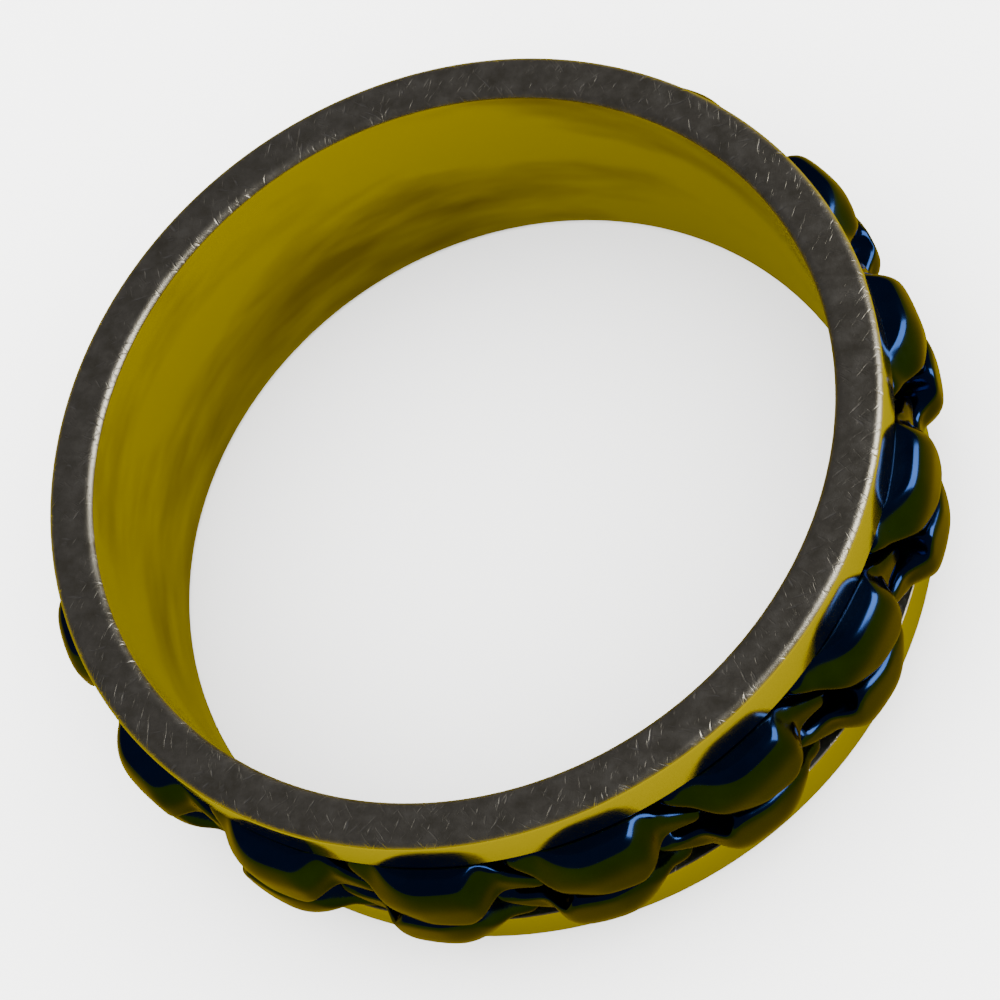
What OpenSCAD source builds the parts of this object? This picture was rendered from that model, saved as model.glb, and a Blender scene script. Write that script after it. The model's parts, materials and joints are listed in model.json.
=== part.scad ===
// Spinner ring: a steel band with a groove round its outside, and a closed curb chain of twisted
// links that turns in the groove.
// Lengths are millimetres. The ring lies on its side: Z runs along the finger, and the origin is on
// the bore's axis, half way between the rims.

/* [Band] */
// Bore of the band, which is the finger size
bore_d = 19.8; // [15:0.1:24]
// Width of the band along the finger
band_w = 7; // [5.6:0.1:10]
// Wall of the band at its two shoulders
shoulder_wall = 1.24; // [1:0.01:2]
// Radius of the rounded edge between the bore and each rim
bore_round = 0.25; // [0.05:0.01:0.4]
// Radius of the rounded edge between each rim and the outside
rim_round = 0.22; // [0.05:0.01:0.4]

/* [Groove] */
// Width of the groove
groove_w = 4.1; // [3.7:0.05:5]
// Wall of the band under the groove
groove_wall = 0.42; // [0.3:0.01:0.7]
// Radius of the rounded edges along the groove
groove_round = 0.06; // [0.02:0.01:0.15]

/* [Chain] */
// Number of links round the chain
link_count = 16; // [14:1:18]
// Clear gap between the chain and the groove's floor
floor_gap = 0.08; // [0.05:0.01:0.2]
// Clear gap between the chain and each wall of the groove
side_gap = 0.05; // [0.04:0.01:0.15]
// Angle of the first link round the band, before the chain's own slack
first_link_angle = 0; // [-11:0.5:11]

/* [Link] */
// Height of a link from the chain's underside to its crowns
crown_h = 1.65; // [1.4:0.05:1.85]
// Width of the wire at a link's two crowns
crown_w = 1.5; // [1.36:0.02:1.64]
// Width of the wire at a link's two noses
nose_w = 0.72; // [0.62:0.02:0.8]
// Height of the wire at a link's two noses
nose_h = 0.33; // [0.29:0.01:0.44]
// Slack along the chain between the noses of two joined links
nose_slack = 0.3; // [0.26:0.01:0.36]
// Slack in height where two joined links cross
cross_slack = 0.12; // [0.08:0.01:0.18]

/* [Hidden] */
BAND_FACETS = 256;      // facets of the band when it is drawn as a mesh
ROUND_STEPS = 5;        // flats across each rounded edge of the band
RING_COUNT = 16;        // sections round each link's wire
FLAT_SHARE = 0.62;      // share of the wire's width that its flat top and bottom take
SWELL_POWER = 7;        // how quickly the wire swells from its noses into its crowns
TWIST_SHARE = 0.92;     // share of the strands' crossing height that each strand rises
NOSE_SINK = 0.13;       // how far the twist would carry the wire below the chain's underside
WAY_STEP = 0.05;        // half the step, in degrees, that the wire's direction is measured over

bore_r = bore_d / 2;
shoulder_r = bore_r + shoulder_wall;
groove_r = bore_r + groove_wall;
rim_z = band_w / 2;
groove_z = groove_w / 2;

link_in_r = groove_r + floor_gap;
link_out_r = link_in_r + crown_h;
link_mid_r = (link_in_r + link_out_r) / 2;
link_pitch = 2 * PI * link_mid_r / link_count;
loop_half_l = (link_pitch + nose_w + nose_slack) / 2;
loop_half_w = groove_z - side_gap - crown_w / 2;
twist_rise = TWIST_SHARE * (nose_h + cross_slack);
nose_r = link_in_r + twist_rise + nose_h / 2 - NOSE_SINK;

function link_name(i) = str("link_", i + 1 < 10 ? "0" : "", i + 1);

// How far the loose chain has slid round the band from even spacing, as [angle, slide] in degrees,
// chosen by hand
CHAIN_SLIDE = [
    [0, -2], [22.5, -2], [90, -1], [135, 0], [180, 0],
    [247.5, 2], [270, 1.5], [315, 0], [337.5, -1], [360, -2],
];

function link_angle(i) =
    let (even = i * 360 / link_count)
    first_link_angle + even + lookup(even, CHAIN_SLIDE);

// Points of a quarter round of radius r about the centre c, from the angle a to a + 90
function quarter(c, r, a) = [
    for (k = [0 : ROUND_STEPS])
        c + r * [cos(a + 90 * k / ROUND_STEPS), sin(a + 90 * k / ROUND_STEPS)]
];

function flipped(points) = [for (k = [len(points) - 1 : -1 : 0]) [points[k].x, -points[k].y]];

// Upper half of the band's section, as [radius, height], from the groove's floor over the upper rim
// to the bore. Below the middle it is the same, upside down.
upper_section = concat(
    [[groove_r, groove_z]],
    flipped(quarter([shoulder_r - groove_round, -groove_z - groove_round], groove_round, 0)),
    quarter([shoulder_r - rim_round, rim_z - rim_round], rim_round, 0),
    quarter([bore_r + bore_round, rim_z - bore_round], bore_round, 90)
);
band_section = concat(upper_section, flipped(upper_section));

// Corners of the wire's section, as shares of its half width and half height
wire_section = [
    [1, 0],
    [FLAT_SHARE, 1],
    [-FLAT_SHARE, 1],
    [-1, 0],
    [-FLAT_SHARE, -1],
    [FLAT_SHARE, -1],
];

function blend(from, to, share) = from + (to - from) * share;
function unit(v) = v / norm(v);

// The wire runs round a flat oval loop that is wrapped on the chain's middle radius. The angle u goes
// round the loop: 0 and 180 are its noses, 90 and 270 its crowns.
function swell(u) = pow(abs(sin(u)), SWELL_POWER);
function wire_turn(u) = loop_half_l * cos(u) / link_mid_r * 180 / PI;
function wire_r(u) = blend(nose_r, link_mid_r, swell(u)) + twist_rise * sin(2 * u);
function wire_outward(u) = [cos(wire_turn(u)), sin(wire_turn(u)), 0];
function wire_centre(u) = wire_r(u) * wire_outward(u) + [0, 0, loop_half_w * sin(u)];
function wire_way(u) = unit(wire_centre(u + WAY_STEP) - wire_centre(u - WAY_STEP));

// A point of the wire is kept between the chain's underside and the tops of its crowns
function kept_in_chain(p) =
    let (
        r = norm([p.x, p.y]),
        keep = min(max(r, link_in_r), link_out_r) / r
    )
    [p.x * keep, p.y * keep, p.z];

// The corners of the wire's section at the angle u round the loop
function wire_ring(u) =
    let (
        way = wire_way(u),
        up = unit(wire_outward(u) - way * (wire_outward(u) * way)),
        side = cross(way, up),
        half_w = blend(nose_w, crown_w, swell(u)) / 2,
        half_h = blend(nose_h, crown_h, swell(u)) / 2
    )
    [for (corner = wire_section)
        kept_in_chain(wire_centre(u) + side * half_w * corner.x + up * half_h * corner.y)];

// The steel band, turned about the finger's axis
module band() {
    color([0.76, 0.75, 0.72])
        rotate_extrude($fn = BAND_FACETS)
            polygon(band_section);
}

// One link of the chain, the i-th round the band: its sections joined in a closed loop
module link(i) {
    corners = len(wire_section);
    rings = [for (k = [0 : RING_COUNT - 1]) wire_ring(k * 360 / RING_COUNT)];
    points = [for (ring = rings, p = ring) p];
    faces = [
        for (k = [0 : RING_COUNT - 1], c = [0 : corners - 1])
            let (
                here = k * corners,
                there = (k + 1) % RING_COUNT * corners,
                next_c = (c + 1) % corners
            )
            [here + c, here + next_c, there + next_c, there + c]
    ];
    color([0.04, 0.16, 0.45])
        rotate([0, 0, link_angle(i)])
            polyhedron(points, faces, convexity = 4);
}

band();
for (i = [0 : link_count - 1]) link(i);
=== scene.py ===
"""The looks of a spinner ring: a steel band with a groove round its outside, and a closed chain of
blue curb links that turns in the groove.

Pieces are modelled in millimetres and brought to metres when they are finished. Z runs along the
finger, and the origin is on the bore's axis, half way between the rims.
"""

from __future__ import annotations

import json
import logging
import math
from contextlib import contextmanager
from dataclasses import dataclass, field
from enum import Enum
from typing import Any, Callable, Iterator, Sequence

import bmesh
import bpy
from mathutils import Matrix, Vector

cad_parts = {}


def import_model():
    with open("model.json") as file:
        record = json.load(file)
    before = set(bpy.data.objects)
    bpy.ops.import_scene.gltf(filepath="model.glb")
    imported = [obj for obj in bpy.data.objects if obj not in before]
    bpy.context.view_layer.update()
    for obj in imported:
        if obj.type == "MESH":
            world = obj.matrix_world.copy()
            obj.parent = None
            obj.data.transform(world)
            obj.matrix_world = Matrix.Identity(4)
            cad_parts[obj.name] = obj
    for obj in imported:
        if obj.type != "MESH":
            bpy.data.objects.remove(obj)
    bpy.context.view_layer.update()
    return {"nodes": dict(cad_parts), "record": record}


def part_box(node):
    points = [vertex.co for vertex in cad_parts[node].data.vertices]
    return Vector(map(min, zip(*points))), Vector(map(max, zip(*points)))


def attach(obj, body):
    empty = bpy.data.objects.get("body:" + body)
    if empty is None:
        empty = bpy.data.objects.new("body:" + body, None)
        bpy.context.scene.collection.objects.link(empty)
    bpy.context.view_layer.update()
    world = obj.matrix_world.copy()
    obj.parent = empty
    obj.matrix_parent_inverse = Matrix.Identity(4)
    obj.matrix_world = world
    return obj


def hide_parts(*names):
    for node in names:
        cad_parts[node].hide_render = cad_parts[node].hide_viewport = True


LOG = logging.getLogger("spinner_ring")
METRES_PER_MM = 0.001

Pair = tuple[float, float]
Triple = tuple[float, float, float]
Socket = bpy.types.NodeSocket


class Part(Enum):
    """The parts of a mesh that can be picked out by their place."""

    CORNERS = "VERT"
    EDGES = "EDGE"
    FACES = "FACE"


class Bench:
    """Holds one piece at a time for the mesh operators, which act on all that is selected."""

    @staticmethod
    def clear() -> None:
        """Deselects every object."""
        for thing in list(bpy.context.selected_objects):
            thing.select_set(False)
        bpy.context.view_layer.objects.active = None

    @staticmethod
    def hold(piece: bpy.types.Object) -> None:
        """Makes one piece the only selected and active object.

        Args:
            piece: The piece to work on.
        """
        Bench.clear()
        piece.select_set(True)
        bpy.context.view_layer.objects.active = piece

    @staticmethod
    def newest(name: str) -> bpy.types.Object:
        """Names the object that an operator has just added.

        Args:
            name: The piece's name, which its mesh takes as well.

        Returns:
            The named piece.
        """
        piece = bpy.context.active_object
        piece.name = name
        piece.data.name = name
        return piece

    @staticmethod
    @contextmanager
    def editing(piece: bpy.types.Object, part: Part) -> Iterator[None]:
        """Opens a piece in edit mode with all of it selected, and closes it again.

        Args:
            piece: The piece to edit.
            part: Whether its corners, edges or faces are to be picked.

        Yields:
            Nothing, while the piece is open.
        """
        Bench.hold(piece)
        bpy.ops.object.mode_set(mode="EDIT")
        bpy.ops.mesh.select_mode(type=part.value)
        bpy.ops.mesh.select_all(action="SELECT")
        yield
        bpy.ops.object.mode_set(mode="OBJECT")

    @staticmethod
    def pick(piece: bpy.types.Object, part: Part, wanted: Callable[[Vector], bool]) -> None:
        """Selects the corners or faces of the piece being edited whose middle is wanted.

        Args:
            piece: The piece that is open in edit mode.
            part: Whether corners or faces are picked.
            wanted: Tells whether the one with this middle is picked.
        """
        bpy.ops.mesh.select_mode(type=part.value)
        bpy.ops.mesh.select_all(action="DESELECT")
        mesh = bmesh.from_edit_mesh(piece.data)
        if part is Part.CORNERS:
            rows = [(corner, corner.co) for corner in mesh.verts]
        else:
            rows = [(face, face.calc_center_median()) for face in mesh.faces]
        for row, middle in rows:
            if wanted(middle):
                row.select_set(True)
        mesh.select_flush_mode()
        bmesh.update_edit_mesh(piece.data)

    @staticmethod
    def settle(piece: bpy.types.Object) -> None:
        """Puts a piece's place, turn and scale into its mesh.

        Args:
            piece: The piece to settle.
        """
        Bench.hold(piece)
        bpy.ops.object.transform_apply(location=True, rotation=True, scale=True)

    @staticmethod
    def to_metres(piece: bpy.types.Object) -> None:
        """Scales a piece that was modelled in millimetres, and applies the scale.

        Args:
            piece: The finished piece, at the origin.
        """
        piece.scale = (METRES_PER_MM,) * 3
        Bench.settle(piece)

    @staticmethod
    def modify(piece: bpy.types.Object, kind: str, **settings: Any) -> None:
        """Adds a modifier to a piece and applies it.

        Args:
            piece: The piece to modify.
            kind: The modifier's type.
            **settings: The modifier's settings, by name.
        """
        Bench.hold(piece)
        modifier = piece.modifiers.new(kind.title(), kind)
        for name, value in settings.items():
            setattr(modifier, name, value)
        bpy.ops.object.modifier_apply(modifier=modifier.name)


class NodeSheet:
    """A sheet that the nodes of a finish, or of the air round the ring, are laid out on."""

    def __init__(self, tree: bpy.types.NodeTree) -> None:
        """Starts on an empty tree.

        Args:
            tree: The node tree, which is cleared.
        """
        self.tree = tree
        tree.nodes.clear()

    @classmethod
    def of_finish(cls, name: str) -> tuple[bpy.types.Material, NodeSheet]:
        """Starts a new finish.

        Args:
            name: The finish's name.

        Returns:
            Its material and its empty sheet.
        """
        made = bpy.data.materials.new(name)
        made.use_nodes = True
        return made, cls(made.node_tree)

    def put(
        self, kind: str, settings: dict[str, Any] | None = None, **inputs: Any
    ) -> bpy.types.Node:
        """Adds a node, and fills or links its inputs.

        Args:
            kind: The node's type, without the word ShaderNode.
            settings: The node's own settings, by name.
            **inputs: Values or output sockets for its inputs. Underscores stand for spaces, and a
                name such as in0 or in1 is an input's number.

        Returns:
            The new node.
        """
        node = self.tree.nodes.new("ShaderNode" + kind)
        for name, value in (settings or {}).items():
            setattr(node, name, value)
        for name, value in inputs.items():
            numbered = name.startswith("in") and name[2:].isdigit()
            socket = node.inputs[int(name[2:]) if numbered else name.replace("_", " ")]
            if isinstance(value, Socket):
                self.tree.links.new(value, socket)
            else:
                socket.default_value = value
        return node

    def reckon(self, operation: str, *values: Any) -> Socket:
        """Adds a Math node.

        Args:
            operation: Its operation, such as MULTIPLY.
            *values: Its numbers or output sockets.

        Returns:
            The result's socket.
        """
        inputs = {f"in{i}": value for i, value in enumerate(values)}
        return self.put("Math", {"operation": operation}, **inputs).outputs[0]

    def noise(
        self,
        place: Socket,
        detail: float,
        roughness: float = 0.5,
        scale: float = 1.0,
        seed: float | None = None,
    ) -> Socket:
        """Adds a cloudy pattern.

        Args:
            place: The socket of the place that is looked up.
            detail: How many finer patterns are added to the first.
            roughness: How strong each is beside the one before.
            scale: Features for each unit of length.
            seed: Moves the whole pattern, where it is given.

        Returns:
            The socket of a grey from 0 to 1.
        """
        settings = {} if seed is None else {"noise_dimensions": "4D"}
        inputs = {"Vector": place, "Scale": scale, "Detail": detail, "Roughness": roughness}
        if seed is not None:
            inputs["W"] = seed
        return self.put("TexNoise", settings, **inputs).outputs[0]

    def spread(self, grey: Socket, source: Pair, target: Pair) -> Socket:
        """Spreads one range of a grey over another, and keeps to its ends.

        Args:
            grey: The socket of the grey.
            source: The lowest and highest grey that count.
            target: What they become.

        Returns:
            The result's socket.
        """
        ends = {"From_Min": source[0], "From_Max": source[1]}
        ends |= {"To_Min": target[0], "To_Max": target[1]}
        return self.put("MapRange", Value=grey, **ends).outputs[0]

    def ramp(self, share: Socket, *stops: Pair) -> Socket:
        """Adds a curve of grey through the given stops.

        Args:
            share: The socket that is looked up.
            *stops: Pairs of place and value, both from 0 to 1, in order.

        Returns:
            The socket of the value that is found.
        """
        node = self.put("ValToRGB", Fac=share)
        marks = node.color_ramp.elements
        for _ in stops[2:]:
            marks.new(0.5)
        for mark, (place, value) in zip(marks, stops):
            mark.position = place
            mark.color = (value, value, value, 1)
        return node.outputs[0]

    def mix(self, share: Socket, first: Triple, second: Triple) -> Socket:
        """Mixes two colours.

        Args:
            share: How much of the second there is.
            first: A colour.
            second: Another colour.

        Returns:
            The mixed colour's socket.
        """
        colours = {"in6": (*first, 1), "in7": (*second, 1)}
        return self.put("Mix", {"data_type": "RGBA"}, in0=share, **colours).outputs[2]

    def surface(self, shader: bpy.types.Node) -> None:
        """Ends the sheet with its shader."""
        self.put("OutputMaterial", Surface=shader.outputs[0])

    def metal(
        self, tone: Socket, rough: Socket, height: Socket, relief: Pair, **more: Any
    ) -> None:
        """Ends the sheet with a metal surface.

        Args:
            tone: The socket of its colour.
            rough: The socket of its roughness.
            height: The socket of its relief.
            relief: The relief's strength, and its depth in metres.
            **more: Other inputs of the shader, which are the same all over.
        """
        strength, depth = relief
        bump = self.put("Bump", Strength=strength, Distance=depth, Height=height)
        inputs = {"Base_Color": tone, "Roughness": rough, "Normal": bump.outputs[0], **more}
        self.surface(self.put("BsdfPrincipled", Metallic=1.0, **inputs))


class RoundMap:
    """Places on the ring in millimetres: round it, across it and along the finger."""

    def __init__(self, sheet: NodeSheet, radius: float) -> None:
        """Lays out the nodes that turn object coordinates into lengths round the ring.

        Args:
            sheet: The sheet they are put on.
            radius: The radius at which an angle becomes a length, in millimetres.
        """
        place = sheet.put("TexCoord").outputs["Object"]
        parts = sheet.put("SeparateXYZ", in0=place)
        x, y, z = parts.outputs[0], parts.outputs[1], parts.outputs[2]
        squares = sheet.reckon(
            "ADD", sheet.reckon("MULTIPLY", x, x), sheet.reckon("MULTIPLY", y, y)
        )
        self.sheet = sheet
        self.plain = place
        self.round = sheet.reckon("MULTIPLY", sheet.reckon("ARCTAN2", y, x), radius)
        self.across = sheet.reckon("MULTIPLY", sheet.reckon("SQRT", squares), 1 / METRES_PER_MM)
        self.along = sheet.reckon("MULTIPLY", z, 1 / METRES_PER_MM)

    def stretched(
        self, fine_round: float, fine_across: float, fine_along: float, slant: float = 0.0
    ) -> Socket:
        """A place for a texture that is drawn out one way.

        Args:
            fine_round: Features for each millimetre round the ring.
            fine_across: Features for each millimetre outwards.
            fine_along: Features for each millimetre along the finger.
            slant: How far a line leans round the ring for each millimetre outwards.

        Returns:
            The vector's socket.
        """
        sheet = self.sheet
        leaning = sheet.reckon("MULTIPLY_ADD", self.across, slant, self.round)
        return sheet.put(
            "CombineXYZ",
            in0=sheet.reckon("MULTIPLY", leaning, fine_round),
            in1=sheet.reckon("MULTIPLY", self.across, fine_across),
            in2=sheet.reckon("MULTIPLY", self.along, fine_along),
        ).outputs[0]

    def scaled(self, fine: float, fine_along: float) -> Socket:
        """A place for a texture that runs on round the ring without a seam.

        Args:
            fine: Features for each millimetre across the ring.
            fine_along: Features for each millimetre along the finger.

        Returns:
            The vector's socket.
        """
        features = tuple(count / METRES_PER_MM for count in (fine, fine, fine_along))
        settings = {"operation": "MULTIPLY"}
        return self.sheet.put("VectorMath", settings, in0=self.plain, in1=features).outputs[0]


@dataclass(frozen=True)
class PolishedSteel:
    """The bore, shoulders, groove and rounded edges: bright steel with fine turning marks, a thin
    haze, and darker brownish clouds in the bore, which are painted shade standing in for dark
    reflections there.

    Each value called fine is features for each millimetre, and each one called range is the part
    of a pattern's greys that counts.
    """

    name: str = "polished_steel"
    measured_r: float = 9.9
    colour: Triple = (0.72, 0.69, 0.62)
    roughness: Pair = (0.10, 0.17)
    mark_fine: Triple = (0.12, 14.0, 14.0)
    mark_relief: Pair = (0.04, 0.00002)
    haze_fine: Pair = (0.5, 0.8)
    haze_range: Pair = (0.35, 0.65)
    # Painted shade: the darker brownish colour, its clouds and its seed paint dark reflections into
    # the bore only, not a stain on the steel
    reflected_shade: Triple = (0.34, 0.29, 0.20)
    tarnish_fine: Pair = (0.10, 0.38)
    reflected_shade_range: Pair = (0.46, 0.66)
    reflected_shade_seed: float = 3.0
    bore_reach: float = 10.1

    def material(self) -> bpy.types.Material:
        """Makes the finish.

        Returns:
            The material.
        """
        made, sheet = NodeSheet.of_finish(self.name)
        ring = RoundMap(sheet, self.measured_r)
        marks = sheet.noise(ring.stretched(*self.mark_fine), detail=3.0, roughness=0.6)
        haze = sheet.noise(ring.scaled(*self.haze_fine), detail=4.0, roughness=0.6)
        # Painted reflection: cloudy darker patches, kept to the bore, that stand in for the shade
        # the bore reflects
        cloud = sheet.noise(
            ring.scaled(*self.tarnish_fine), detail=4.0, roughness=0.55, seed=self.reflected_shade_seed
        )
        clear, cloudy = self.reflected_shade_range
        in_bore = sheet.reckon("LESS_THAN", ring.across, self.bore_reach)
        share = sheet.reckon("MULTIPLY", sheet.ramp(cloud, (clear, 0.0), (cloudy, 1.0)), in_bore)
        tone = sheet.mix(share, self.colour, self.reflected_shade)
        rough = sheet.spread(haze, self.haze_range, self.roughness)
        sheet.metal(tone, rough, marks, self.mark_relief)
        return made


@dataclass(frozen=True)
class SatinSteel:
    """The flat rims: dull steel, mottled and covered in short scratches.

    Each value called fine is features for each millimetre. Each row of scratches has its slant, its
    scratches for each millimetre round the ring, and a seed.
    """

    name: str = "satin_steel"
    measured_r: float = 10.5
    dull: Triple = (0.38, 0.345, 0.255)
    bright: Triple = (0.82, 0.78, 0.70)
    roughness: Pair = (0.30, 0.46)
    scratch_rows: tuple[Triple, ...] = ((0.25, 7.0, 1.7), (0.8, 8.0, 5.1), (-0.9, 9.0, 9.4))
    scratch_fine_across: float = 2.2
    scratch_stops: tuple[Pair, ...] = ((0.0, 0.0), (0.62, 0.0), (0.74, 0.6))
    scratch_depth: float = 2.2
    mottle_fine: float = 1.7
    mottle_stops: tuple[Pair, ...] = ((0.3, 0.0), (0.75, 0.45))
    mottle_range: Pair = (0.3, 0.7)
    grain_fine: float = 22.0
    grain_height: float = 0.5
    relief: Pair = (0.45, 0.00003)

    def scratches(
        self, sheet: NodeSheet, ring: RoundMap, slant: float, fine: float, seed: float
    ) -> Socket:
        """Short straight scratches that lie at one slant.

        Args:
            sheet: The sheet the nodes go on.
            ring: The ring's own coordinates.
            slant: How far they lean round the ring for each millimetre outwards.
            fine: Scratches for each millimetre round the ring.
            seed: Moves the pattern.

        Returns:
            The socket of a grey that is bright on a scratch.
        """
        place = ring.stretched(fine, self.scratch_fine_across, 0.0, slant)
        return sheet.ramp(sheet.noise(place, detail=2.0, seed=seed), *self.scratch_stops)

    def material(self) -> bpy.types.Material:
        """Makes the finish.

        Returns:
            The material.
        """
        made, sheet = NodeSheet.of_finish(self.name)
        ring = RoundMap(sheet, self.measured_r)
        lines, *others = (self.scratches(sheet, ring, *row) for row in self.scratch_rows)
        for other in others:
            lines = sheet.reckon("MAXIMUM", lines, other)
        mottle = sheet.noise(ring.scaled(self.mottle_fine, 0.0), detail=6.0, roughness=0.7)
        grain = sheet.noise(ring.scaled(self.grain_fine, 0.0), detail=3.0, roughness=0.6)
        share = sheet.reckon("MAXIMUM", sheet.ramp(mottle, *self.mottle_stops), lines)
        tone = sheet.mix(share, self.dull, self.bright)
        rough = sheet.spread(mottle, self.mottle_range, self.roughness)
        height = sheet.reckon(
            "SUBTRACT",
            sheet.reckon("MULTIPLY", grain, self.grain_height),
            sheet.reckon("MULTIPLY", lines, self.scratch_depth),
        )
        sheet.metal(tone, rough, height, self.relief)
        return made


@dataclass(frozen=True)
class BlueSteel:
    """The chain: mirror-bright steel under a deep blue coating, which is a little paler in clouds.

    Each value called fine is features for each metre, and each one called range is the part of the
    clouds' greys that counts.
    """

    name: str = "blue_steel"
    colour: Triple = (0.014, 0.036, 0.116)
    worn: Triple = (0.019, 0.047, 0.150)
    glance: Triple = (1.0, 0.86, 0.75)
    roughness: Pair = (0.12, 0.20)
    cloud_fine: float = 900.0
    tone_range: Pair = (0.4, 0.7)
    rough_range: Pair = (0.35, 0.65)
    ripple_fine: float = 1500.0
    ripple_relief: Pair = (0.05, 0.00003)

    def material(self) -> bpy.types.Material:
        """Makes the finish.

        Returns:
            The material.
        """
        made, sheet = NodeSheet.of_finish(self.name)
        place = sheet.put("TexCoord").outputs["Object"]
        cloud = sheet.noise(place, detail=4.0, roughness=0.6, scale=self.cloud_fine)
        ripple = sheet.noise(place, detail=2.0, scale=self.ripple_fine)
        low, high = self.tone_range
        tone = sheet.mix(sheet.ramp(cloud, (low, 0.0), (high, 1.0)), self.colour, self.worn)
        rough = sheet.spread(cloud, self.rough_range, self.roughness)
        sheet.metal(tone, rough, ripple, self.ripple_relief, Specular_Tint=(*self.glance, 1))
        return made


@dataclass
class Band:
    """The steel band: two shoulders joined by the thin wall under the groove, with a smooth bore.

    Lengths are millimetres.
    """

    bore_r: float
    shoulder_r: float
    rim_z: float
    groove_r: float = 10.32
    groove_z: float = 2.05
    bore_round: float = 0.25
    rim_round: float = 0.22
    groove_round: float = 0.06
    floor_round: float = 0.03
    round_steps: int = 8
    turns: int = 384
    name: str = "steel_band"

    # How near corners are to be found, to be cut through and to be welded
    near: float = 0.001
    cut_near: float = 0.00001
    weld_near: float = 0.0002

    # The bend in radians below which an edge is dissolved, and the one in degrees that stays sharp
    straight: float = 0.01
    crease: float = 28.0

    # How much a face's size counts in the shading, and how flat a face of the rims lies
    size_weight: int = 80
    rim_flatness: float = 0.45

    def corners(self) -> list[Triple]:
        """Lists the section's corners that are rounded.

        Returns:
            The reach, height and radius of each one above the middle.
        """
        return [
            (self.shoulder_r, self.rim_z, self.rim_round),
            (self.bore_r, self.rim_z, self.bore_round),
            (self.shoulder_r, self.groove_z, self.groove_round),
            (self.groove_r, self.groove_z, self.floor_round),
        ]

    def round_off(
        self, piece: bpy.types.Object, reach: float, height: float, radius: float
    ) -> None:
        """Rounds a corner of the section that is being edited, above and below the middle.

        Args:
            piece: The section.
            reach: The corner's distance from the axis.
            height: Its distance from the middle along the finger.
            radius: How far the rounding reaches.
        """
        Bench.pick(
            piece,
            Part.CORNERS,
            lambda p: abs(p.x - reach) < self.near and abs(abs(p.z) - height) < self.near,
        )
        bpy.ops.mesh.bevel(
            offset_type="OFFSET",
            offset=radius,
            segments=self.round_steps,
            affect="VERTICES",
            clamp_overlap=False,
        )

    def section(self) -> bpy.types.Object:
        """Cuts the band's section from a plane that stands beside the axis.

        Returns:
            The outline of the section, as edges without a face.
        """
        Bench.clear()
        middle = (self.bore_r + self.shoulder_r) / 2
        bpy.ops.mesh.primitive_plane_add(
            size=1, location=(middle, 0, 0), rotation=(math.pi / 2, 0, 0)
        )
        piece = Bench.newest(self.name)
        piece.scale = (self.shoulder_r - self.bore_r, 2 * self.rim_z, 1)
        Bench.settle(piece)
        cuts = (
            ((0, 0, self.groove_z), (0, 0, 1)),
            ((0, 0, -self.groove_z), (0, 0, 1)),
            ((self.groove_r, 0, 0), (1, 0, 0)),
        )
        with Bench.editing(piece, Part.FACES):
            for place, way in cuts:
                bpy.ops.mesh.select_all(action="SELECT")
                bpy.ops.mesh.bisect(plane_co=place, plane_no=way, threshold=self.cut_near)
            Bench.pick(
                piece, Part.FACES, lambda p: p.x > self.groove_r and abs(p.z) < self.groove_z
            )
            bpy.ops.mesh.delete(type="FACE")
            bpy.ops.mesh.select_all(action="SELECT")
            bpy.ops.mesh.dissolve_limited(angle_limit=self.straight)
            for corner in self.corners():
                self.round_off(piece, *corner)
            Bench.pick(piece, Part.FACES, lambda p: True)
            bpy.ops.mesh.delete(type="ONLY_FACE")
        return piece

    def build(self) -> bpy.types.Object:
        """Turns the section round the axis and smooths the result.

        Returns:
            The finished band, in metres.
        """
        piece = self.section()
        with Bench.editing(piece, Part.EDGES):
            bpy.ops.mesh.spin(
                steps=self.turns, angle=2 * math.pi, center=(0, 0, 0), axis=(0, 0, 1)
            )
            bpy.ops.mesh.select_all(action="SELECT")
            bpy.ops.mesh.remove_doubles(threshold=self.weld_near)
            bpy.ops.mesh.normals_make_consistent(inside=False)
        Bench.to_metres(piece)
        bpy.ops.object.shade_smooth_by_angle(angle=math.radians(self.crease))
        Bench.modify(piece, "WEIGHTED_NORMAL", keep_sharp=True, weight=self.size_weight)
        return piece

    def dress(self, piece: bpy.types.Object, polished: PolishedSteel, satin: SatinSteel) -> None:
        """Gives the band its polished finish, and the flat rims their satin one.

        Args:
            piece: The finished band.
            polished: The finish of all but the rims.
            satin: The finish of the rims.
        """
        piece.data.materials.clear()
        piece.data.materials.append(polished.material())
        piece.data.materials.append(satin.material())
        for face in piece.data.polygons:
            face.material_index = 1 if abs(face.normal.z) > self.rim_flatness else 0


@dataclass(frozen=True)
class Zone:
    """A stretch over which something comes in: none of it at the start, and all at the end."""

    start: float
    end: float

    def share(self, value: float) -> float:
        """How much has come in at the value, from 0 to 1."""
        return min(max((value - self.start) / (self.end - self.start), 0.0), 1.0)

    def eased(self, value: float) -> float:
        """How much has come in at the value, with a soft start and end."""
        share = self.share(value)
        return share * share * (3 - 2 * share)


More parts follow.
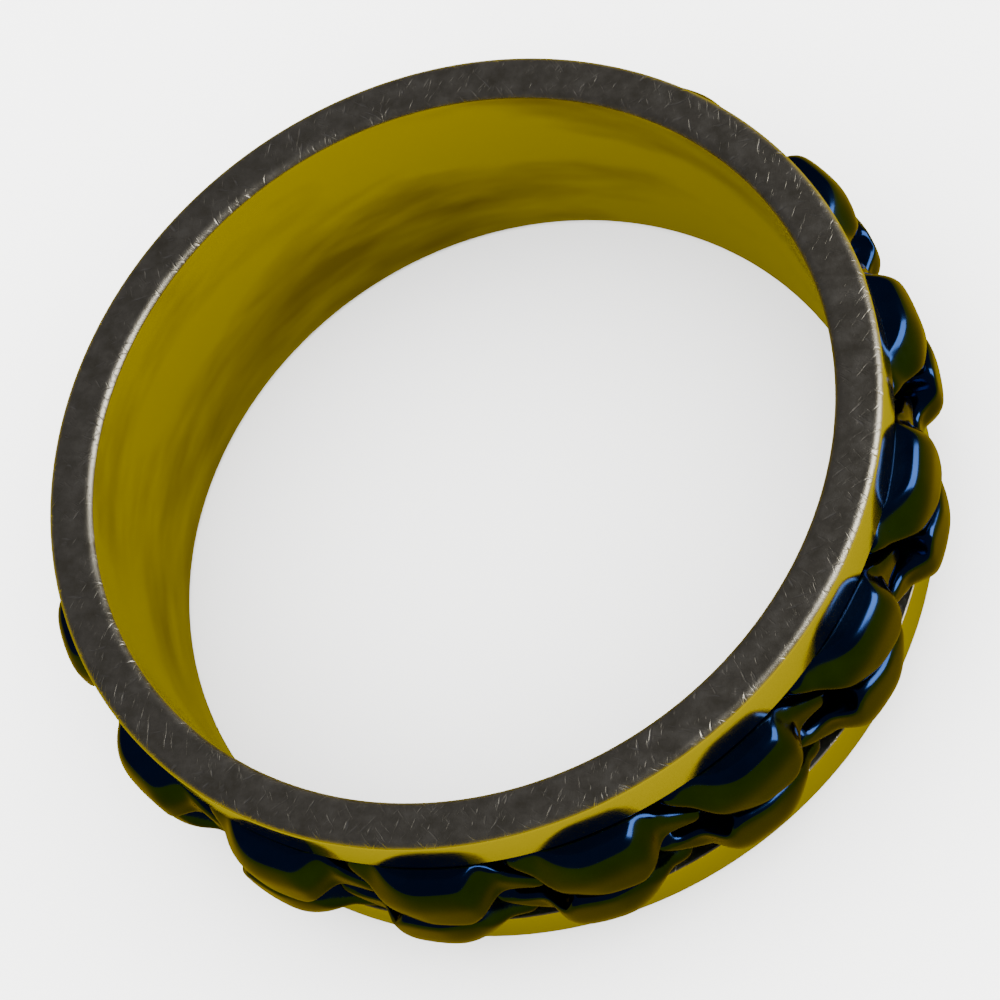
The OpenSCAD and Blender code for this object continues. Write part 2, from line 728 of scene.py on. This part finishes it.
@dataclass
class CurbLink:
    """One link: a closed loop of two flattened strands that pass over and under their neighbours.

    Lengths are millimetres. On the link's own plan, x runs round the chain from the link's middle
    and z along the finger. Half a turn of the plan maps the link on itself, so only the upper
    strand is described: it lies over the next link on its right and under the last one on its left.
    """

    name: str = "curb_link"
    inner_r: float = 10.40
    outer_r: float = 12.01
    half_width: float = 2.0
    closest_pitch: float = 4.205

    # The first halves of the plan's outer edge and of its opening
    outline: tuple[Pair, ...] = (
        (3.0, 0.0), (2.88, 0.40), (2.55, 0.80), (2.10, 1.20), (1.72, 1.62), (1.30, 1.95),
        (0.65, 2.0), (0.0, 2.0), (-0.6, 2.0), (-1.2, 2.0), (-1.75, 1.93), (-2.3, 1.6),
        (-2.70, 1.05), (-2.93, 0.50),
    )
    opening: tuple[Pair, ...] = (
        (2.33, 0.0), (2.27, 0.27), (1.80, 0.38), (1.20, 0.26), (0.93, -0.08), (0.65, -0.12),
        (0.35, -0.04), (0.0, 0.05), (-0.4, 0.14), (-0.85, 0.26), (-1.3, 0.36), (-1.75, 0.40),
        (-2.15, 0.33), (-2.30, 0.16),
    )
    right_marks: int = 7
    left_marks: int = 5

    # The outside falls to the left, most along the link's edge, and only a little to the right
    left_fall: Pair = (0.15, 0.33)
    left_fall_zone: Zone = Zone(0.6, 2.0)
    right_fall: float = 0.06

    # The right end drops off, and sooner along the link's edge
    end_drop: float = 0.85
    end_start: float = 1.2
    end_length: float = 0.75
    end_lean: float = 0.25
    end_lean_zone: Zone = Zone(1.2, 2.0)

    # The outside rounds down to the link's edge
    edge_fall: float = 0.28
    edge_fall_zone: Zone = Zone(1.15, 2.0)
    edge_fall_power: float = 1.5

    # Left of the middle it dips beside the opening, and stays above a low tail
    dip: float = 0.13
    dip_zone_z: Zone = Zone(0.95, 0.35)
    dip_zone_x: Zone = Zone(0.0, -0.9)
    tail_top: float = 11.05
    tail_rise: float = 0.30
    tail_rise_zone: Zone = Zone(1.95, 1.25)

    # At both noses the strand passes between the heights over and under the parting
    parting_r: float = 10.86
    parting_gap: float = 0.09
    nose_z: float = 0.30
    nose_power: float = 1.5
    nose_top: float = 11.30
    nose_fall: float = 0.10
    nose_fall_zone: Zone = Zone(1.1, 1.8)
    right_nose_zone: Zone = Zone(1.0, 1.25)
    left_nose_zone: Zone = Zone(-1.15, -0.85)
    left_lift_zone: Zone = Zone(-1.0, -1.3)

    # Where the underside rises before the next link's left side, and where the outside sinks
    # towards the last link's right side, as distances from those sides
    rise_before: Pair = (0.26, 0.08)
    sink_beyond: Pair = (0.40, 0.10)

    # The strand's section, and how finely it and the loop are divided
    edge_round: float = 0.25
    most_round: float = 0.9
    round_steps: int = 4
    flat_steps: int = 6
    wall_steps: int = 3
    stations: int = 112

    @property
    def middle_r(self) -> float:
        """The chain's middle radius."""
        return (self.inner_r + self.outer_r) / 2

    @property
    def under_r(self) -> float:
        """The radius that a strand stays within under its neighbour."""
        return self.parting_r - self.parting_gap / 2

    @property
    def over_r(self) -> float:
        """The radius that a strand stays beyond over its neighbour."""
        return self.parting_r + self.parting_gap / 2

    @staticmethod
    def along(marks: Sequence[Pair], share: float) -> Pair:
        """Finds a place on a closed smooth curve through the marks and their half turn.

        Args:
            marks: The first half of the curve's marks.
            share: How far along, from 0 to 1 over the first half and on to 2 over the second.

        Returns:
            The place on the plan.
        """
        ring = list(marks) + [(-x, -z) for x, z in marks]
        step = share * len(marks)
        passed = int(step)
        t = step - passed
        nearest = [ring[(passed + k) % len(ring)] for k in (-1, 0, 1, 2)]

        def smooth(a: float, b: float, c: float, d: float) -> float:
            """One coordinate of the curve between its second and third marks."""
            bend, twist = 2 * a - 5 * b + 4 * c - d, 3 * b - a - 3 * c + d
            return 0.5 * (2 * b + (c - a) * t + bend * t**2 + twist * t**3)

        x, z = (smooth(*row) for row in zip(*nearest))
        return x, z

    @staticmethod
    def side_at(side: Sequence[Pair], z: float) -> float:
        """Looks up how far one side of the outline reaches.

        Args:
            side: The side's marks, from the plan's middle line upwards.
            z: The place along the finger, above or below the middle line.

        Returns:
            The place round the chain.
        """
        height = min(abs(z), side[-1][1])
        for (x0, z0), (x1, z1) in zip(side, side[1:]):
            if height <= z1:
                return x0 + (x1 - x0) * (height - z0) / (z1 - z0)
        return side[-1][0]

    def right_at(self, z: float) -> float:
        """How far the outline's right side reaches at this height on the plan."""
        return self.side_at(self.outline[: self.right_marks], z)

    def left_at(self, z: float) -> float:
        """How far the outline's left side reaches at this height, as a negative number."""
        tip = (-self.outline[0][0], 0.0)
        return self.side_at((tip,) + self.outline[: -1 - self.left_marks : -1], z)

    def crown(self, x: float, z: float) -> float:
        """Finds the upper strand's outside where nothing lies over it.

        Args:
            x: The place round the chain.
            z: The place along the finger.

        Returns:
            The radius of the outside.
        """
        edge = self.edge_fall * self.edge_fall_zone.share(abs(z)) ** self.edge_fall_power
        if x < 0:
            inmost, more = self.left_fall
            fall = inmost + more * self.left_fall_zone.share(z)
            dip = self.dip * self.dip_zone_z.share(z) * self.dip_zone_x.share(x)
            tail = self.tail_top + self.tail_rise * self.tail_rise_zone.share(z)
            return max(self.outer_r - fall * x**2 - edge - dip, tail)
        start = self.end_start - self.end_lean * self.end_lean_zone.share(z)
        drop = self.end_drop * Zone(start, start + self.end_length).eased(x)
        return self.outer_r - self.right_fall * x**2 - drop - edge

    def right_skin(self, x: float, z: float, over: float) -> Pair:
        """Finds the upper strand's outside and underside right of the middle.

        Args:
            x: The place round the chain.
            z: The place along the finger.
            over: How far the strand is over its neighbour, from 0 to 1.

        Returns:
            The radius of the outside and that of the underside.
        """
        crown = self.crown(x, z)
        nose = max(crown, self.nose_top - self.nose_fall * self.nose_fall_zone.share(z))
        high = nose if z > self.nose_z else self.under_r + (nose - self.under_r) * over
        beyond = self.right_nose_zone.share(x)
        low = self.inner_r + (self.over_r - self.inner_r) * over
        next_left = self.closest_pitch + self.left_at(z)
        start, end = self.rise_before
        raised = Zone(next_left - start, next_left - end).share(x)
        top = crown * (1 - beyond) + high * beyond
        return top, self.inner_r * (1 - raised) + low * raised

    def left_skin(self, x: float, z: float, over: float) -> Pair:
        """Finds the upper strand's outside and underside left of the middle.

        Args:
            x: The place round the chain.
            z: The place along the finger.
            over: How far the strand is over its neighbour, from 0 to 1.

        Returns:
            The radius of the outside and that of the underside.
        """
        crown = self.crown(x, z)
        high = self.under_r + (crown - self.under_r) * over
        last_right = self.right_at(z) - self.closest_pitch
        start, end = self.sink_beyond
        covered = Zone(last_right + start, last_right + end).eased(x)
        top = crown * (1 - covered) + min(high, self.under_r) * covered
        if z >= self.nose_z:
            return top, self.inner_r
        low = self.inner_r + (self.over_r - self.inner_r) * over
        top = min(top, high + (crown - high) * self.left_nose_zone.share(x))
        return top, self.inner_r + (low - self.inner_r) * self.left_lift_zone.share(x)

    def skin(self, x: float, z: float) -> Pair:
        """Finds the upper strand's outside and underside.

        Args:
            x: The place round the chain.
            z: The place along the finger.

        Returns:
            The radius of the outside and that of the underside.
        """
        lift = min(max(z / self.nose_z, -1.0), 1.0)
        lift = math.copysign(1 - (1 - abs(lift)) ** self.nose_power, lift)
        if x > 0:
            return self.right_skin(x, z, (1 + lift) / 2)
        return self.left_skin(x, z, (1 - lift) / 2)

    @staticmethod
    def runs(steps: int) -> list[float]:
        """The places that divide a flat into steps, from 1 to -1, without its ends."""
        return [1 - 2 * k / steps for k in range(1, steps)]

    def section(self, width: float, height: float) -> list[Pair]:
        """Lays out the strand's section: a box with round edges.

        Args:
            width: The strand's width at the station.
            height: Its height there.

        Returns:
            The section's corners, as shares of its half width and half height.
        """
        across = min(2 * self.edge_round / width, self.most_round)
        up = min(2 * self.edge_round / height, self.most_round)
        corners = []
        for quarter, (side, rise) in enumerate(((1, 1), (-1, 1), (-1, -1), (1, -1))):
            for k in range(self.round_steps + 1):
                turn = math.pi / 2 * (quarter + k / self.round_steps)
                reach = side * (1 - across) + across * math.cos(turn)
                corners.append((reach, rise * (1 - up) + up * math.sin(turn)))
            if side == rise:
                corners += [(side * run * (1 - across), rise) for run in self.runs(self.flat_steps)]
            else:
                corners += [(side, rise * run * (1 - up)) for run in self.runs(self.wall_steps)]
        return corners

    def stand(self, share: float) -> list[Vector]:
        """Places the section's corners at one station.

        Args:
            share: How far the station is round the loop, from 0 to 2.

        Returns:
            The corners' places, with the link at the first place of the chain.
        """
        turned = 1 if share < 1 else -1
        edge, hole = self.along(self.outline, share), self.along(self.opening, share)
        middle = ((edge[0] + hole[0]) / 2, (edge[1] + hole[1]) / 2)
        half = ((edge[0] - hole[0]) / 2, (edge[1] - hole[1]) / 2)
        top, low = self.skin(middle[0] * turned, middle[1] * turned)
        places = []
        for across, up in self.section(2 * math.hypot(*half), top - low):
            x = middle[0] + half[0] * across
            z = min(max(middle[1] + half[1] * across, -self.half_width), self.half_width)
            top, low = self.skin(x * turned, z * turned)
            reach = min(max(low + (up + 1) / 2 * (top - low), self.inner_r), self.outer_r)
            angle = x / self.middle_r
            places.append(Vector((reach * math.cos(angle), reach * math.sin(angle), z)))
        return places

    def build(self) -> bpy.types.Object:
        """Makes the link at the first place of the chain, from a ring that is shaped in code.

        Returns:
            The finished link, in metres.
        """
        Bench.clear()
        rings = [self.stand(2 * k / self.stations) for k in range(self.stations)]
        bpy.ops.mesh.primitive_torus_add(
            major_segments=self.stations,
            minor_segments=len(rings[0]),
            major_radius=self.half_width,
            minor_radius=self.half_width / 4,
        )
        piece = Bench.newest(self.name)
        for corner, place in zip(piece.data.vertices, (place for ring in rings for place in ring)):
            corner.co = place
        with Bench.editing(piece, Part.FACES):
            bpy.ops.mesh.normals_make_consistent(inside=False)
        Bench.modify(piece, "SMOOTH", factor=0.5, iterations=3)
        Bench.modify(piece, "SUBSURF", levels=1, render_levels=1)
        Bench.to_metres(piece)
        bpy.ops.object.shade_smooth()
        return piece


@dataclass
class Chain:
    """The closed chain: one link, copied to each link's place in the groove."""

    angles: dict[str, float]
    link: CurbLink = field(default_factory=CurbLink)

    @classmethod
    def from_nodes(cls, nodes: dict[str, bpy.types.Object]) -> Chain:
        """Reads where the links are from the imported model.

        Args:
            nodes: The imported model's nodes, by name.

        Returns:
            A chain with a link at each node of the model's chain.
        """
        angles = {}
        for name in sorted(nodes):
            if name.startswith("link_"):
                points = [corner.co for corner in nodes[name].data.vertices]
                middle = sum(points, Vector()) / len(points)
                angles[name] = math.atan2(middle.y, middle.x)
        return cls(angles)

    def build(self) -> dict[str, bpy.types.Object]:
        """Builds the first link and copies it.

        Returns:
            The finished links, by the node that each one stands for.
        """
        first = self.link.build()
        links = {}
        for node, angle in self.angles.items():
            Bench.hold(first)
            bpy.ops.object.duplicate(linked=False)
            copy = Bench.newest("curb_" + node)
            copy.rotation_euler = (0, 0, angle)
            Bench.settle(copy)
            links[node] = copy
        bpy.data.objects.remove(first)
        return links

    @staticmethod
    def dress(links: dict[str, bpy.types.Object], finish: BlueSteel) -> None:
        """Gives every link the blue finish.

        Args:
            links: The finished links.
            finish: Their finish.
        """
        blue = finish.material()
        for piece in links.values():
            piece.data.materials.clear()
            piece.data.materials.append(blue)


@dataclass
class Studio:
    """A pale floor, a yellow card on it that only reflections show, a soft light and the camera.

    Places and lengths are metres, apart from the lens and sensor, which are millimetres.
    """

    floor_z: float
    eye: Triple = (0.03056, -0.03616, 0.07827)
    right: Triple = (0.9432, 0.1384, -0.3019)
    up: Triple = (0.0, 0.9091, 0.4167)
    lens: float = 125.46
    sensor: float = 36.0
    seen_from: float = 0.005
    seen_to: float = 50.0
    key_place: Triple = (0.192, 0.054, 0.09)
    key_size: float = 0.15
    key_power: float = 0.42
    air_power: float = 6.0
    room_colour: Triple = (0.09, 0.09, 0.1)
    floor_r: float = 2.5
    floor_colour: Triple = (0.93, 0.93, 0.92)
    floor_roughness: float = 0.9
    card_r: float = 2.4
    card_lift: float = 0.00001
    card_colour: Triple = (0.120, 0.096, 0.001)
    disc_sides: int = 128

    def camera(self) -> None:
        """Sets up the camera at the photograph's viewing angle."""
        data = bpy.data.cameras.new("camera")
        data.lens = self.lens
        data.sensor_width = self.sensor
        data.clip_start = self.seen_from
        data.clip_end = self.seen_to
        eye = bpy.data.objects.new("camera", data)
        bpy.context.scene.collection.objects.link(eye)
        right, up = Vector(self.right).normalized(), Vector(self.up).normalized()
        back = right.cross(up).normalized()
        turn = Matrix((right, up, back)).transposed().to_4x4()
        eye.matrix_world = Matrix.Translation(self.eye) @ turn
        bpy.context.scene.camera = eye

    def disc(self, name: str, radius: float, height: float) -> bpy.types.Object:
        """Lays a flat round piece under the ring.

        Args:
            name: The piece's name.
            radius: Its radius.
            height: Its height along the finger.

        Returns:
            The piece, without a finish.
        """
        Bench.clear()
        bpy.ops.mesh.primitive_circle_add(
            vertices=self.disc_sides, radius=radius, fill_type="NGON", location=(0, 0, height)
        )
        piece = Bench.newest(name)
        Bench.settle(piece)
        return piece

    def floor(self) -> bpy.types.Object:
        """Lays the plain pale floor under the ring.

        Returns:
            The floor.
        """
        piece = self.disc("floor", self.floor_r, self.floor_z)
        made, sheet = NodeSheet.of_finish("pale_floor")
        inputs = {"Base_Color": (*self.floor_colour, 1), "Roughness": self.floor_roughness}
        sheet.surface(sheet.put("BsdfPrincipled", **inputs))
        piece.data.materials.append(made)
        return piece

    def card(self) -> bpy.types.Object:
        """Lays a yellow card on the floor, which is seen in reflections only.

        Returns:
            The card.
        """
        piece = self.disc("yellow_card", self.card_r, self.floor_z + self.card_lift)
        made, sheet = NodeSheet.of_finish("yellow_card")
        sheet.surface(sheet.put("BsdfDiffuse", Color=(*self.card_colour, 1)))
        piece.data.materials.append(made)
        piece.visible_camera = False
        piece.visible_diffuse = False
        piece.visible_shadow = False
        piece.visible_transmission = False
        return piece

    def key(self) -> None:
        """Hangs a soft square light that faces the ring."""
        data = bpy.data.lights.new("key", "AREA")
        data.energy = self.key_power
        data.size = self.key_size
        light = bpy.data.objects.new("key", data)
        bpy.context.scene.collection.objects.link(light)
        light.location = self.key_place
        light.rotation_euler = Vector(self.key_place).to_track_quat("Z", "Y").to_euler()

    def air(self) -> None:
        """Lights the scene from all round, with a dark room for reflections."""
        world = bpy.data.worlds.new("room")
        bpy.context.scene.world = world
        world.use_nodes = True
        sheet = NodeSheet(world.node_tree)
        mirrored = sheet.put("LightPath").outputs["Is Glossy Ray"]
        pale = sheet.put("Background", Color=(1, 1, 1, 1), Strength=self.air_power)
        dark = sheet.put("Background", Color=(*self.room_colour, 1), Strength=1.0)
        both = sheet.put("MixShader", in0=mirrored, in1=pale.outputs[0], in2=dark.outputs[0])
        sheet.put("OutputWorld", Surface=both.outputs[0])

    def build(self) -> None:
        """Sets up the camera, floor, card and lights."""
        self.camera()
        self.floor()
        self.card()
        self.key()
        self.air()


def main() -> None:
    """Builds the band, the chain and the studio, in that order."""
    logging.basicConfig(level=logging.INFO, format="%(name)s: %(message)s")
    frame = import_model()

    low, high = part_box("band")
    bore = next(mount for mount in frame["record"]["mounts"] if mount["name"] == "bore")
    shoulder_r, rim_z = high.x / METRES_PER_MM, high.z / METRES_PER_MM
    band = Band(bore_r=bore["dims"]["r_mm"], shoulder_r=shoulder_r, rim_z=rim_z)
    piece = band.build()
    band.dress(piece, PolishedSteel(), SatinSteel())
    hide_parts("band")
    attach(piece, "band")
    LOG.info("%s: %d faces", piece.name, len(piece.data.polygons))

    chain = Chain.from_nodes(frame["nodes"])
    links = chain.build()
    chain.dress(links, BlueSteel())
    for node, link in links.items():
        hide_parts(node)
        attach(link, "chain")
        LOG.info("%s: %d faces", link.name, len(link.data.polygons))

    Studio(floor_z=low.z).build()


if __name__ == "__main__":
    main()
